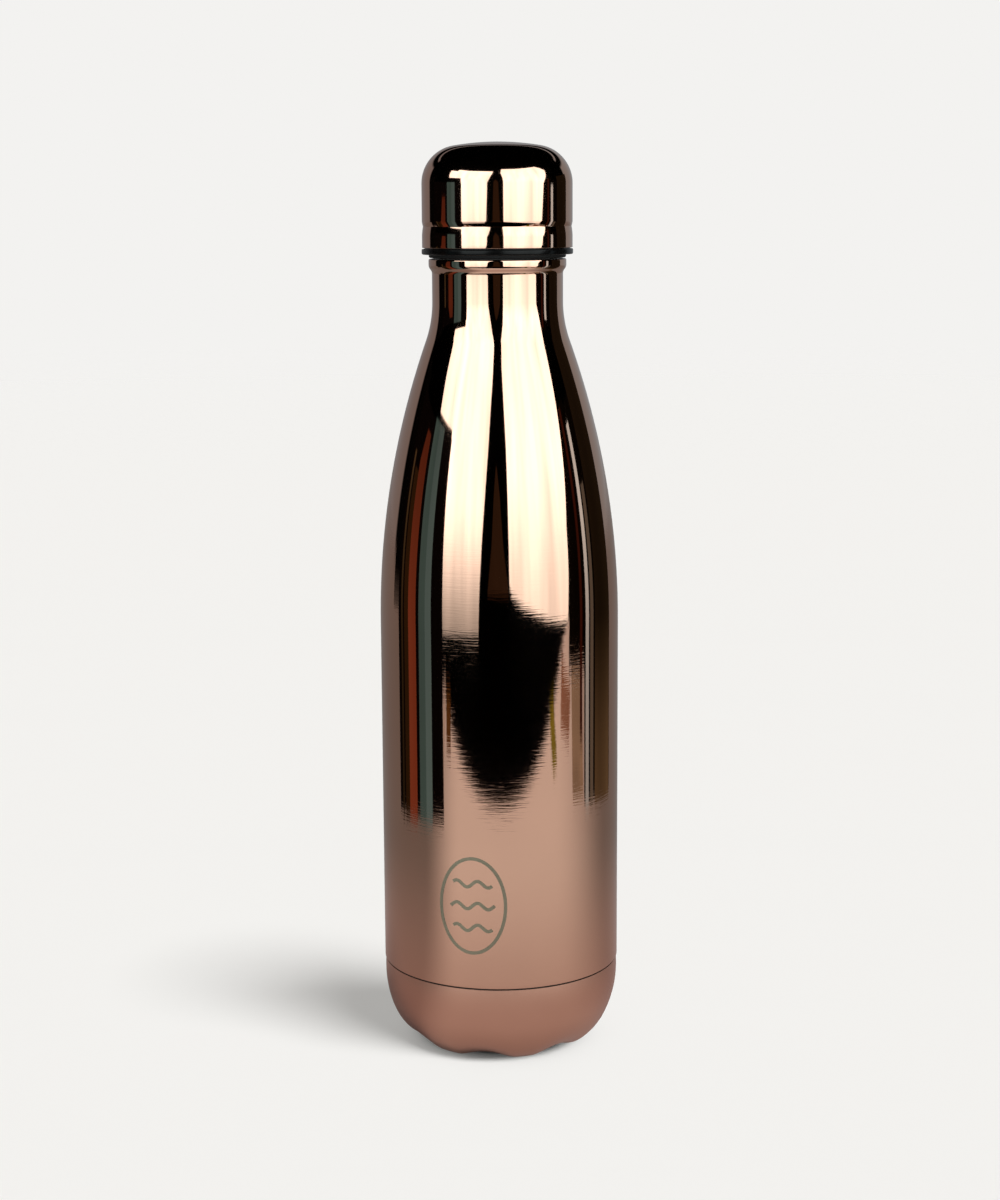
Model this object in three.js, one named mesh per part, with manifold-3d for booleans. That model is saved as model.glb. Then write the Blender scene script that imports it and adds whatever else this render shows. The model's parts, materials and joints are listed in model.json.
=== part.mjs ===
// Double-walled vacuum water bottle with a petal base and a domed screw lid.
// Millimetres, +Z up. The origin is on the bottle's axis, in the plane that its seven feet stand on.
import * as THREE from "three";
import { mergeVertices } from "three/addons/utils/BufferGeometryUtils.js";
import Module from "manifold-3d";

const wasm = await Module();
wasm.setup();

// ---- driving dimensions -------------------------------------------------------------------------
const SHEET = 0.4; // steel wall of the shell and the liner
const BASE_SHEET = 0.6; // the pressed base is thicker
const ROUND = 32; // facets round a turned piece
const SMALL_ROUND = 16; // and round a small one
const FIT = 0.3; // gap left between pieces that touch on the real object

// Outer wall
const BODY_R = 35; // outside radius of the straight body
const NECK_R = 18.85; // outside radius of the neck
const SEAM_Z = 25.2; // the line where the petal base meets the shell
const SHOULDER_Z = 127.2; // where the straight body ends
const SHOULDER_ARC_R = 244; // long convex curve of the shoulder
const NECK_ARC_R = 34; // concave curve from the shoulder into the neck
const MOUTH_Z = 232.6; // top of the mouth's lip
const NECK_END_Z = 228.5; // where the collar starts to roll out of the neck
const COLLAR_Z = 230.7; // from here up the collar is straight
const COLLAR_R = 19.8; // rolled collar under the lip
const COLLAR_HOLE_R = 18.8; // the hole in the collar's top, round the liner's lip
const LIP_R = 18.55; // the liner's lip, which closes that hole

// Petal base
const PETALS = 7;
const PETAL_COLUMNS = 8; // facets across one petal
const PETAL_PHASE = THREE.MathUtils.degToRad(15); // a petal's middle, from -Y towards +X
const BASE_R = 34.8;
const FOOT_R = 21.2; // where the feet touch the ground
const BASE_ROUND_H = 22; // height of the base's elliptical side
const VALLEY_DEPTH = 1.8; // how far a valley stands off the ground
const VALLEY_WALL_DEPTH = 0.35; // how deep a valley runs up the side
const VALLEY_TOP_Z = 17.3; // where the valleys fade out
const FLAT_SHARE = 0.15; // the share of the wave that is cut flat at each foot
const FOOT_INNER_R = 18.6; // where the underside leaves the ground
const BASE_LIP_R = 34.2; // the joggled lip that slips into the shell
const BASE_LIP_H = 4;
const DISC_RECESS_R = 12.2;
const DISC_RECESS_Z = 4.5;
const DISC_R = 11.8;
const PORT_R = 0.8; // the hole through which the air was drawn out
const PORT_SEAT_R = 3.5;
const PORT_Z = 5.7;
const GETTER_X = 8.8; // the getter stands beside the port
const GETTER_R = 3; // the pellet's
const BRACKET_R = 3.6;

// Liner
const LINER_R = 32.1; // outside radius of the liner's straight part
const LINER_NECK_R = 17;
const LINER_END_Z = 20; // weld between the liner and its bottom
const LINER_FLOOR_Z = 11.6;
const LINER_CORNER_R = 8;

// Screw: two starts, right-handed
const LEAD = 10;
const STARTS = 2;
const THREAD_TURNS = 0.75;
const THREAD_STEPS = 20; // facets per turn
const NECK_THREAD_R = 16.55;
const PLUG_THREAD_R = 15.0;
const THREAD_BEAD_R = 1.2;
const NECK_THREAD_Z = 221.8;

// Lid
const GASKET_GAP = 0.25; // above and below the gasket, which isn't squeezed here
const TOP_Z = 265.5;
const LID_R = 21.6;
const LID_EDGE_Z = 235.7;
const CROWN_R = 75; // the dome's shallow top
const LID_CORNER_R = 10.8;
const GROOVE_Z = 241.75;
const GROOVE_DEPTH = 0.35;
const GROOVE_HALF = 1.25;
const RIM_R = 21.75; // black rim under the steel cover
const RIM_Z = 233.8;
const RIM_TOP_Z = 235.4;
const PLUG_R = 14.9;
const PLUG_WALL = 1.8;
const PLUG_BOTTOM_Z = 216.2;
const PLUG_FLANGE_R = 18.8;
const PLUG_FLANGE_H = 1.8;
const FLANGE_Z = 234.5; // underside of the plug's flange, which presses on the gasket
const CORE_R = 20.95;
const CORE_SHOULDER_Z = 254; // the core narrows from here to fit under the dome
const CORE_TOP_R = 14;
const CORE_TOP_Z = 262.4;
const CORE_WALL = 1.75;

// ---- solids and turned shapes -------------------------------------------------------------------
function toSolid(geometry) {
  const bare = geometry.clone();
  bare.deleteAttribute("normal");
  bare.deleteAttribute("uv");
  const merged = mergeVertices(bare, 1e-4);
  return new wasm.Manifold(
    new wasm.Mesh({
      numProp: 3,
      vertProperties: new Float32Array(merged.attributes.position.array),
      triVerts: new Uint32Array(merged.index.array),
    }),
  );
}

function toGeometry(solid) {
  const mesh = solid.getMesh();
  const positions = new Float32Array(mesh.numVert * 3);
  for (let i = 0; i < mesh.numVert; i++) {
    const first = i * mesh.numProp;
    positions.set(mesh.vertProperties.subarray(first, first + 3), i * 3);
  }
  const geometry = new THREE.BufferGeometry();
  geometry.setAttribute("position", new THREE.BufferAttribute(positions, 3));
  geometry.setIndex(new THREE.BufferAttribute(mesh.triVerts, 1));
  geometry.computeVertexNormals();
  return geometry;
}

// Turns an outline in (radius, z), drawn counter-clockwise, round the Z axis. Angles start at -Y.
function turned(outline, segments = ROUND, phase = 0) {
  const geometry = new THREE.LatheGeometry(outline, segments, phase);
  return geometry.rotateX(Math.PI / 2);
}

// A closed outline made of straight stretches and curves.
function outlineOf(...stretches) {
  const points = stretches.flat().map((p) => (p.isVector2 ? p : new THREE.Vector2(...p)));
  const closesOnAxis = points[0].x === 0 && points.at(-1).x === 0;
  return closesOnAxis ? points : [...points, points[0].clone()];
}

// Points along an elliptical arc in (radius, z), angles in radians from +radius towards +z.
function arc(centreR, centreZ, radiusR, radiusZ, from, to, steps) {
  const curve = new THREE.EllipseCurve(
    centreR, centreZ, radiusR, radiusZ, from, to, to < from);
  return curve.getPoints(steps);
}

// The bottle's side from straight body to neck: a long convex arc that runs tangent into a concave one.
function shoulder(bodyR, neckR, convexR, concaveR) {
  const convex = new THREE.Vector2(bodyR - convexR, SHOULDER_Z);
  const across = neckR + concaveR - convex.x;
  const along = Math.sqrt((convexR + concaveR) ** 2 - across ** 2);
  const concave = new THREE.Vector2(neckR + concaveR, SHOULDER_Z + along);
  const slope = Math.atan2(along, across);
  return [
    ...arc(convex.x, convex.y, convexR, convexR, 0, slope, 5),
    ...arc(concave.x, concave.y, concaveR, concaveR, Math.PI + slope, Math.PI, 3).slice(1),
  ];
}

// One start of a round-beaded thread, as a rod bent along a helix.
class Helix extends THREE.Curve {
  constructor(radius, startZ, startAngle, turns) {
    super();
    Object.assign(this, { radius, startZ, startAngle, turns });
  }

  getPoint(t) {
    const angle = this.startAngle + 2 * Math.PI * this.turns * t;
    const z = this.startZ + LEAD * this.turns * t;
    return new THREE.Vector3(this.radius * Math.cos(angle), this.radius * Math.sin(angle), z);
  }
}

function threadBeads(radius, startZ, beadR) {
  const section = new THREE.Shape(new THREE.EllipseCurve(0, 0, beadR, beadR).getPoints(8).slice(0, -1));
  const beads = [];
  for (let start = 0; start < STARTS; start++) {
    const extrudePath = new Helix(radius, startZ, (2 * Math.PI * start) / STARTS, THREAD_TURNS);
    const steps = Math.round(THREAD_STEPS * THREAD_TURNS);
    beads.push(toSolid(new THREE.ExtrudeGeometry(section, { steps, extrudePath, bevelEnabled: false })));
  }
  return beads.reduce((all, bead) => all.add(bead));
}

// ---- flask --------------------------------------------------------------------------------------
function outerShell() {
  const bottom = SEAM_Z + FIT / 2;
  const outside = shoulder(BODY_R, NECK_R, SHOULDER_ARC_R, NECK_ARC_R);
  const inside = shoulder(BODY_R - SHEET, NECK_R - SHEET, SHOULDER_ARC_R - SHEET, NECK_ARC_R + SHEET);
  const collar = [
    [NECK_R, NECK_END_Z], [NECK_R + 0.35, NECK_END_Z + 1], [COLLAR_R, COLLAR_Z], [COLLAR_R, MOUTH_Z - 0.8],
    [COLLAR_R - 0.25, MOUTH_Z - 0.25], [COLLAR_R - 0.7, MOUTH_Z], [COLLAR_HOLE_R, MOUTH_Z],
    [COLLAR_HOLE_R, MOUTH_Z - SHEET], [COLLAR_R - SHEET, MOUTH_Z - 1], [COLLAR_R - SHEET, COLLAR_Z + 0.1],
    [NECK_R - 0.05, NECK_END_Z + 1.1], [NECK_R - SHEET, NECK_END_Z + 0.2],
  ];
  return turned(outlineOf(
    [[BODY_R - SHEET, bottom], [BODY_R, bottom]], outside, collar, inside.reverse()));
}

// Presses the petals into the turned base: valleys lift off the ground and run up the side.
function pressPetals(geometry) {
  const position = geometry.attributes.position;
  for (let i = 0; i < position.count; i++) {
    const x = position.getX(i);
    const y = position.getY(i);
    const z = position.getZ(i);
    const r = Math.hypot(x, y);
    const angle = Math.atan2(x, -y) - PETAL_PHASE;
    const wave = Math.sin((PETALS / 2) * angle) ** 2;
    const valley = Math.max(0, (wave - FLAT_SHARE) / (1 - FLAT_SHARE));
    const low = THREE.MathUtils.clamp(1 - z / VALLEY_TOP_Z, 0, 1);
    const inward = THREE.MathUtils.smoothstep(r, DISC_RECESS_R + 1, FOOT_R - 2);
    const depth = VALLEY_WALL_DEPTH * low + (VALLEY_DEPTH - VALLEY_WALL_DEPTH) * low ** 3;
    const normalR = Math.max(0, r - FOOT_R) / (BASE_R - FOOT_R) ** 2;
    const normalZ = (z - BASE_ROUND_H) / BASE_ROUND_H ** 2;
    const push = (depth * valley * inward) / Math.hypot(normalR, normalZ);
    const scale = r > 0 ? (r - push * normalR) / r : 1;
    position.setXYZ(i, x * scale, y * scale, z - push * normalZ);
  }
  return geometry;
}

function outerBase() {
  const sideR = BASE_R - FOOT_R;
  const wall = BASE_SHEET;
  const top = SEAM_Z - FIT / 2;
  const topAngle = Math.asin((top - BASE_ROUND_H) / BASE_ROUND_H);
  const lipTop = SEAM_Z + BASE_LIP_H;
  const under = [
    [PORT_R, PORT_Z], [PORT_SEAT_R, PORT_Z], [PORT_SEAT_R + 1, DISC_RECESS_Z],
    [DISC_RECESS_R, DISC_RECESS_Z], [13.2, 3.6], [16, 1.2], [FOOT_INNER_R, 0],
  ];
  const inside = [
    [FOOT_INNER_R, wall], [16.1, 1.8], [13.5, 4.2], [DISC_RECESS_R + 0.2, DISC_RECESS_Z + wall],
    [PORT_SEAT_R + 1.2, DISC_RECESS_Z + wall], [PORT_SEAT_R + 0.2, PORT_Z + wall], [PORT_R, PORT_Z + wall],
  ];
  const outline = outlineOf(
    under,
    arc(FOOT_R, BASE_ROUND_H, sideR, BASE_ROUND_H, -Math.PI / 2, topAngle, 7),
    [
      [BASE_LIP_R, top], [BASE_LIP_R, lipTop], [BASE_LIP_R - wall, lipTop],
      [BASE_LIP_R - wall, SEAM_Z - wall],
    ],
    arc(FOOT_R, BASE_ROUND_H, sideR - wall, BASE_ROUND_H - wall, -0.09, -Math.PI / 2, 4),
    inside,
  );
  return pressPetals(turned(outline, PETALS * PETAL_COLUMNS, PETAL_PHASE));
}

function innerLiner() {
  const outside = shoulder(LINER_R, LINER_NECK_R, SHOULDER_ARC_R, NECK_ARC_R);
  const inside = shoulder(
    LINER_R - SHEET, LINER_NECK_R - SHEET, SHOULDER_ARC_R - SHEET, NECK_ARC_R + SHEET);
  const boreR = LINER_NECK_R - SHEET;
  const lip = [
    [LINER_NECK_R, MOUTH_Z - 1.3], [LINER_NECK_R + 0.4, MOUTH_Z - SHEET], [LIP_R, MOUTH_Z - SHEET],
    [LIP_R, MOUTH_Z], [LINER_NECK_R + 0.3, MOUTH_Z], [boreR, MOUTH_Z - 0.9],
  ];
  const wall = toSolid(turned(outlineOf(
    [[LINER_R - SHEET, LINER_END_Z], [LINER_R, LINER_END_Z]], outside, lip, inside.reverse())));
  // Each ridge stands inward from the wall, and stops short of the wall's outside.
  const trimR = LINER_NECK_R - SHEET / 2;
  const trim = toSolid(turned(outlineOf(
    [[0, SHOULDER_Z], [trimR, SHOULDER_Z], [trimR, MOUTH_Z], [0, MOUTH_Z]])));
  const ridges = threadBeads(NECK_THREAD_R, NECK_THREAD_Z, THREAD_BEAD_R).intersect(trim);
  return toGeometry(wall.add(ridges));
}

function linerBase() {
  const centreR = LINER_R - LINER_CORNER_R;
  const centreZ = LINER_FLOOR_Z + LINER_CORNER_R;
  const top = LINER_END_Z - FIT;
  const crown = 1; // how far the floor's middle stands above its edge
  return turned(outlineOf(
    [[0, LINER_FLOOR_Z + crown], [centreR * 0.5, LINER_FLOOR_Z + crown * 0.7]],
    arc(centreR, centreZ, LINER_CORNER_R, LINER_CORNER_R, -Math.PI / 2, 0, 3),
    [[LINER_R, top], [LINER_R - SHEET, top]],
    arc(centreR, centreZ, LINER_CORNER_R - SHEET, LINER_CORNER_R - SHEET, 0, -Math.PI / 2, 3),
    [
      [centreR * 0.5, LINER_FLOOR_Z + crown * 0.7 + SHEET],
      [0, LINER_FLOOR_Z + crown + SHEET],
    ],
  ));
}

function copperFoil() {
  const inner = LINER_R + FIT;
  const outer = inner + 0.2;
  const bottom = SEAM_Z + 8;
  return turned(outlineOf(
    [[inner, bottom], [outer, bottom], [outer, SHOULDER_Z], [inner, SHOULDER_Z]]));
}

// A holder spot-welded inside the base, beside the vacuum port.
const GETTER_FLOOR_Z = DISC_RECESS_Z + BASE_SHEET + FIT;

function getterBracket() {
  const sheet = 0.3;
  const top = GETTER_FLOOR_Z + 2.6;
  return turned(outlineOf([
    [0, GETTER_FLOOR_Z], [BRACKET_R, GETTER_FLOOR_Z], [BRACKET_R, top], [BRACKET_R - sheet, top],
    [BRACKET_R - sheet, GETTER_FLOOR_Z + sheet], [0, GETTER_FLOOR_Z + sheet],
  ]), SMALL_ROUND);
}

function getterPellet() {
  const bottom = GETTER_FLOOR_Z + 0.45;
  const top = bottom + 2.6;
  const bevel = 0.4;
  return turned(outlineOf([
    [0, bottom], [GETTER_R - bevel, bottom], [GETTER_R, bottom + bevel], [GETTER_R, top - bevel],
    [GETTER_R - bevel, top], [0, top],
  ]), SMALL_ROUND);
}

// A drop under the port, with a stem that stands up into its hole.
function vacuumSealBead() {
  const bottom = DISC_RECESS_Z + 0.25;
  const stemR = PORT_R - 0.2;
  return turned(outlineOf([
    [0, bottom], [1.6, bottom + 0.1], [2.5, bottom + 0.4], [2.4, PORT_Z - 0.2], [stemR, PORT_Z - 0.15],
    [stemR, PORT_Z + 0.5], [0, PORT_Z + 0.5],
  ]), SMALL_ROUND);
}

function baseCoverDisc() {
  const top = DISC_RECESS_Z - FIT;
  const bottom = top - 0.5;
  return turned(outlineOf([
    [0, bottom], [DISC_R - 0.4, bottom], [DISC_R, bottom + 0.3], [DISC_R, top], [0, top],
  ]));
}

// ---- lid ----------------------------------------------------------------------------------------
function mouthGasket() {
  const bottom = MOUTH_Z + GASKET_GAP;
  const top = FLANGE_Z - GASKET_GAP;
  const outer = COLLAR_R - 0.1;
  const inner = PLUG_R + FIT;
  return turned(outlineOf([
    [inner, bottom], [outer - 0.3, bottom], [outer, bottom + 0.3], [outer, top], [inner, top],
  ]));
}

// The domed cover: a shallow crown, a round corner that runs tangent out of it, then a straight wall.
function dome(wallR, crownR, cornerR, topZ) {
  const crownZ = topZ - crownR;
  const cornerCentreR = wallR - cornerR;
  const cornerCentreZ = crownZ + Math.sqrt((crownR - cornerR) ** 2 - cornerCentreR ** 2);
  const meet = Math.atan2(cornerCentreZ - crownZ, cornerCentreR);
  return [
    ...arc(cornerCentreR, cornerCentreZ, cornerR, cornerR, 0, meet, 5),
    ...arc(0, crownZ, crownR, crownR, meet, Math.PI / 2, 3).slice(1, -1),
    new THREE.Vector2(0, topZ),
  ];
}

function groove(r) {
  return [
    [r, GROOVE_Z - GROOVE_HALF], [r - GROOVE_DEPTH, GROOVE_Z - 0.25],
    [r - GROOVE_DEPTH, GROOVE_Z + 0.25], [r, GROOVE_Z + GROOVE_HALF],
  ];
}

function lidShell() {
  const innerR = LID_R - SHEET;
  const outside = dome(LID_R, CROWN_R, LID_CORNER_R, TOP_Z);
  const inside = dome(innerR, CROWN_R - SHEET, LID_CORNER_R - SHEET, TOP_Z - SHEET);
  return turned(outlineOf(
    [[innerR, LID_EDGE_Z], [LID_R - 0.15, LID_EDGE_Z], [LID_R, LID_EDGE_Z + 0.2]],
    groove(LID_R), outside, inside.reverse(), groove(innerR).reverse()));
}

function lidCore() {
  const innerR = CORE_R - CORE_WALL;
  const recessR = COLLAR_R + 0.2; // the gasket sits inside this
  return turned(outlineOf(
    [
      [recessR, RIM_Z], [RIM_R - 0.5, RIM_Z], [RIM_R, RIM_Z + 0.5], [RIM_R, RIM_TOP_Z - 0.4],
      [RIM_R - 0.4, RIM_TOP_Z], [CORE_R, RIM_TOP_Z],
    ],
    groove(CORE_R),
    [
      [CORE_R, CORE_SHOULDER_Z], [CORE_TOP_R, CORE_TOP_Z], [0, CORE_TOP_Z],
      [0, CORE_TOP_Z - CORE_WALL], [CORE_TOP_R - 0.7, CORE_TOP_Z - CORE_WALL],
      [innerR, CORE_SHOULDER_Z - 0.8], [innerR, FLANGE_Z + 0.3], [recessR, FLANGE_Z + 0.1],
    ],
  ));
}

function threadedPlug() {
  const boreR = PLUG_R - PLUG_WALL;
  const flangeTop = FLANGE_Z + PLUG_FLANGE_H;
  const body = toSolid(turned(outlineOf([
    [boreR, PLUG_BOTTOM_Z], [PLUG_R - 1, PLUG_BOTTOM_Z], [PLUG_R, PLUG_BOTTOM_Z + 1],
    [PLUG_R, FLANGE_Z], [PLUG_FLANGE_R, FLANGE_Z], [PLUG_FLANGE_R, flangeTop], [boreR, flangeTop],
  ])));
  const halfPitch = LEAD / STARTS / 2;
  const ridges = threadBeads(PLUG_THREAD_R, NECK_THREAD_Z - halfPitch, THREAD_BEAD_R);
  // The ridges are trimmed so that they don't stand into the plug's bore.
  const trimR = boreR + 0.2;
  const bore = toSolid(turned(outlineOf([
    [0, PLUG_BOTTOM_Z - 5], [trimR, PLUG_BOTTOM_Z - 5], [trimR, flangeTop], [0, flangeTop],
  ])));
  return toGeometry(body.add(ridges.subtract(bore)));
}

function plugEndCap() {
  const r = PLUG_R - PLUG_WALL - FIT;
  const bottom = PLUG_BOTTOM_Z + 0.2;
  return turned(outlineOf([
    [0, bottom], [r - 0.4, bottom], [r, bottom + 0.4], [r, bottom + 1.4], [0, bottom + 1.4],
  ]));
}

function lidInsulation() {
  const plugR = PLUG_R - PLUG_WALL - FIT;
  const coreR = CORE_R - CORE_WALL - FIT;
  const bottom = PLUG_BOTTOM_Z + 1.9;
  const step = FLANGE_Z + PLUG_FLANGE_H + FIT;
  const top = CORE_TOP_Z - CORE_WALL - FIT;
  return turned(outlineOf([
    [0, bottom], [plugR, bottom], [plugR, step], [coreR, step], [coreR, CORE_SHOULDER_Z - 1],
    [CORE_TOP_R - 1, top], [0, top],
  ]));
}

// ---- materials and assembly ---------------------------------------------------------------------
const finish = (color, roughness, metalness) =>
  new THREE.MeshStandardMaterial({ color, roughness, metalness });

const copperMirror = finish(0xc98f78, 0.12, 1);
const copperSatin = finish(0xb5806c, 0.3, 1);
const steel = finish(0xb9b6b0, 0.32, 1);
const copper = finish(0xc77f4e, 0.25, 1);
const blackPlastic = finish(0x161616, 0.35, 0);
const blackSilicone = finish(0x101010, 0.6, 0);
const greyFoam = finish(0xd8d6d0, 0.95, 0);
const greyPellet = finish(0x6a6a6c, 0.7, 0.6);
const solderGlass = finish(0x3f4a3c, 0.15, 0);

const bottle = new THREE.Group();
bottle.name = "water_bottle";

function add(name, geometry, material, x = 0) {
  const mesh = new THREE.Mesh(geometry, material);
  mesh.name = name;
  mesh.position.x = x;
  bottle.add(mesh);
}

add("outer_shell", outerShell(), copperMirror);
add("outer_base", outerBase(), copperSatin);
add("inner_liner", innerLiner(), steel);
add("liner_base", linerBase(), steel);
add("copper_foil", copperFoil(), copper);
add("getter_bracket", getterBracket(), steel, GETTER_X);
add("getter_pellet", getterPellet(), greyPellet, GETTER_X);
add("vacuum_seal_bead", vacuumSealBead(), solderGlass);
add("base_cover_disc", baseCoverDisc(), copperSatin);
add("mouth_gasket", mouthGasket(), blackSilicone);
add("lid_shell", lidShell(), copperMirror);
add("lid_core", lidCore(), blackPlastic);
add("threaded_plug", threadedPlug(), blackPlastic);
add("plug_end_cap", plugEndCap(), blackPlastic);
add("lid_insulation", lidInsulation(), greyFoam);

export default bottle;
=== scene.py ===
"""A copper-coloured vacuum bottle in a small studio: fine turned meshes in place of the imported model's.

Outlines are lists of (radius, z) in millimetres, drawn counter-clockwise and turned round the Z axis. Angles
round the bottle start at its front, -Y, and grow towards +X.
"""
import json
import math

import bmesh
import bpy
from mathutils import Matrix, Vector

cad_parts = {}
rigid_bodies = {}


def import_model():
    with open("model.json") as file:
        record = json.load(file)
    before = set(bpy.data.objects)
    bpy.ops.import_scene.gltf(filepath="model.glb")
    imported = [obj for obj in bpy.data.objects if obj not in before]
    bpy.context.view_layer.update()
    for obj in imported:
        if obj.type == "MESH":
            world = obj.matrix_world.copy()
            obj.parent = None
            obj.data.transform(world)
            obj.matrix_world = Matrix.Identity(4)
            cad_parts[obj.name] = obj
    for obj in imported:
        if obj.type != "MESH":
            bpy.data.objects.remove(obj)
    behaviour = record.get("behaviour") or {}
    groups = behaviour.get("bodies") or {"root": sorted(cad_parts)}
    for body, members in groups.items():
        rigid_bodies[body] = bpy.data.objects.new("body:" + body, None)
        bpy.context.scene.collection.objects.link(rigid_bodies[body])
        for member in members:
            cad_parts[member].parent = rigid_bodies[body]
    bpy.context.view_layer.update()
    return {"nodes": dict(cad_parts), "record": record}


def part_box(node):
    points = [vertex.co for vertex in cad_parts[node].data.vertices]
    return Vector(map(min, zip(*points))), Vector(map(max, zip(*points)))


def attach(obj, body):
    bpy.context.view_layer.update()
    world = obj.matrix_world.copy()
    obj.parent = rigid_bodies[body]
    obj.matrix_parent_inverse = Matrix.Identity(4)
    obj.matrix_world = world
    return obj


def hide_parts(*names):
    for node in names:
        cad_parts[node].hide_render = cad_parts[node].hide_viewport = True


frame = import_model()

MM = 0.001
RECORD = frame["record"]
BODY_OF = {node: body for body, nodes in RECORD["behaviour"]["bodies"].items() for node in nodes}


def reach(node):
    """A turned CAD node's outer radius, bottom and top, in millimetres."""
    low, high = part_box(node)
    return high.x / MM, low.z / MM, high.z / MM


# ---- sizes, from the frame and from the bottle's own curves ---------------------------------------
SHELL_R, SHELL_Z, MOUTH_Z = reach("outer_shell")
_, FOOT_Z, BASE_LIP_Z = reach("outer_base")
LINER_R, LINER_END_Z, _ = reach("inner_liner")
_, LINER_FLOOR_Z, _ = reach("liner_base")
DISC_R, DISC_Z, DISC_TOP_Z = reach("base_cover_disc")
GASKET_R, GASKET_Z, GASKET_TOP_Z = reach("mouth_gasket")
LID_R, LID_EDGE_Z, TOP_Z = reach("lid_shell")
RIM_R, RIM_Z, CORE_TOP_Z = reach("lid_core")
PLUG_FLANGE_R, PLUG_Z, PLUG_TOP_Z = reach("threaded_plug")
CAP_R, CAP_Z, CAP_TOP_Z = reach("plug_end_cap")

SHEET = 0.4
SEGMENTS = 196  # a multiple of the seven petals and of four
SHARP_ANGLE = math.radians(40)
MARK_PROUD = 0.03  # the body is drawn this much slimmer, so that the mark on it stays inside the box
EDGE_ROUND = 0.12  # at the two edges that meet in the seam
NECK_R = 18.85
NECK_END_Z = 228.3
COLLAR_R = 19.8
COLLAR_FILLET = 2.0
COLLAR_BEND = 40
SHOULDER_Z = 127.2
SHOULDER_ARC_R = 244
NECK_ARC_R = 34
LINER_NECK_R = 17

PETALS = 7
PETAL_PHASE = math.radians(15)
BASE_R = 34.8
BASE_TOP_Z = SHELL_Z - 0.5
FOOT_R = 21.2
BASE_ROUND_H = 22
VALLEY_DEPTH = 1.8
VALLEY_WALL_DEPTH = 0.35
VALLEY_TOP_Z = 17.3
FLAT_SHARE = 0.15
BASE_SHEET = 0.6
BASE_LIP_R = SHELL_R - SHEET - 0.4
RECESS_R = 12.2
RECESS_Z = 4.5
PORT_R = 0.8
PORT_SEAT_Z = 5.7
# a near-black ring in the seam's gap: painted shade between shell and base
SEAM_SHADE_R = SHELL_R - 0.5
SEAM_SHADE_INNER_R = SHELL_R - 0.78

CROWN_R = 75
LID_CORNER_R = 10.8
GROOVE_Z = 241.75
GROOVE_DEPTH = 0.3
GROOVE_ABOVE = 1.6  # how far the groove's flanks reach above its line and below it
GROOVE_BELOW = 2.8
CORE_R = 20.95
RIM_TOP_Z = 235.4

LEAD = 10
STARTS = 2
THREAD_TURNS = 0.75
THREAD_HALF = 1.45
NECK_THREAD_Z = 221.8
NECK_THREAD_H = 1.2
PLUG_R = 14.9
PLUG_WALL = 1.8
PLUG_THREAD_H = 1.25
FLANGE_Z = GASKET_TOP_Z + 0.25

MARK_TURN = math.radians(-13.5)
MARK_Z = 50
MARK_HALF_W = 9.6
MARK_HALF_H = 14
MARK_LINE = 1.0
MARK_TOP_R = SHELL_R - 0.004
MARK_SUNK_R = SHELL_R - 0.2
WAVE_ROWS = (-6.5, 0, 6.5)
WAVE_SHARE = 0.68  # of the ring's width at each wave
WAVE_LENGTH = 6.2
WAVE_HEIGHT = 0.9


# ---- outlines -------------------------------------------------------------------------------------
def arc(centre, radius, start, end, steps):
    """Points along an arc, in degrees from +radius towards +z. radius is a number or an ellipse's pair."""
    across, up = radius if isinstance(radius, tuple) else (radius, radius)
    points = []
    for step in range(steps + 1):
        angle = math.radians(start + (end - start) * step / steps)
        points.append((centre[0] + across * math.cos(angle), centre[1] + up * math.sin(angle)))
    return points


def rounded(corners, closed=True, steps=5):
    """An outline from corners (r, z) or (r, z, rounding). A rounding starts that far from its corner."""
    points = []
    for i, corner in enumerate(corners):
        here = Vector(corner[:2])
        cut = corner[2] if len(corner) > 2 else 0
        at_end = not closed and i in (0, len(corners) - 1)
        if not cut or at_end:
            points.append(tuple(here))
            continue
        before = Vector(corners[i - 1][:2]) - here
        after = Vector(corners[(i + 1) % len(corners)][:2]) - here
        first = here + before.normalized() * min(cut, before.length / 2)
        last = here + after.normalized() * min(cut, after.length / 2)
        for step in range(steps + 1):
            t = step / steps
            points.append(tuple((1 - t) ** 2 * first + 2 * t * (1 - t) * here + t * t * last))
    return points


def shoulder(body_r, neck_r, convex_r, concave_r):
    """The side from straight body to neck: a long convex arc that runs tangent into a concave one."""
    convex = (body_r - convex_r, SHOULDER_Z)
    across = neck_r + concave_r - convex[0]
    along = math.sqrt((convex_r + concave_r) ** 2 - across ** 2)
    concave = (neck_r + concave_r, SHOULDER_Z + along)
    slope = math.degrees(math.atan2(along, across))
    return [*arc(convex, convex_r, 0, slope, 40), *arc(concave, concave_r, 180 + slope, 180, 16)[1:]]


def collar(wall):
    """The roll under the mouth, `wall` inside its outer face: a fillet out of the neck, then a bulge."""
    bend = math.radians(COLLAR_BEND)
    fillet = (NECK_R + COLLAR_FILLET, NECK_END_Z)
    meet_r = fillet[0] - COLLAR_FILLET * math.cos(bend)
    meet_z = fillet[1] + COLLAR_FILLET * math.sin(bend)
    bulge_r = (COLLAR_R - meet_r) / (1 - math.cos(bend))
    bulge = (COLLAR_R - bulge_r, meet_z + bulge_r * math.sin(bend))
    return [
        *arc(fillet, COLLAR_FILLET + wall, 180, 180 - COLLAR_BEND, 8),
        *arc(bulge, bulge_r - wall, -COLLAR_BEND, 0, 8)[1:],
    ]


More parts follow.
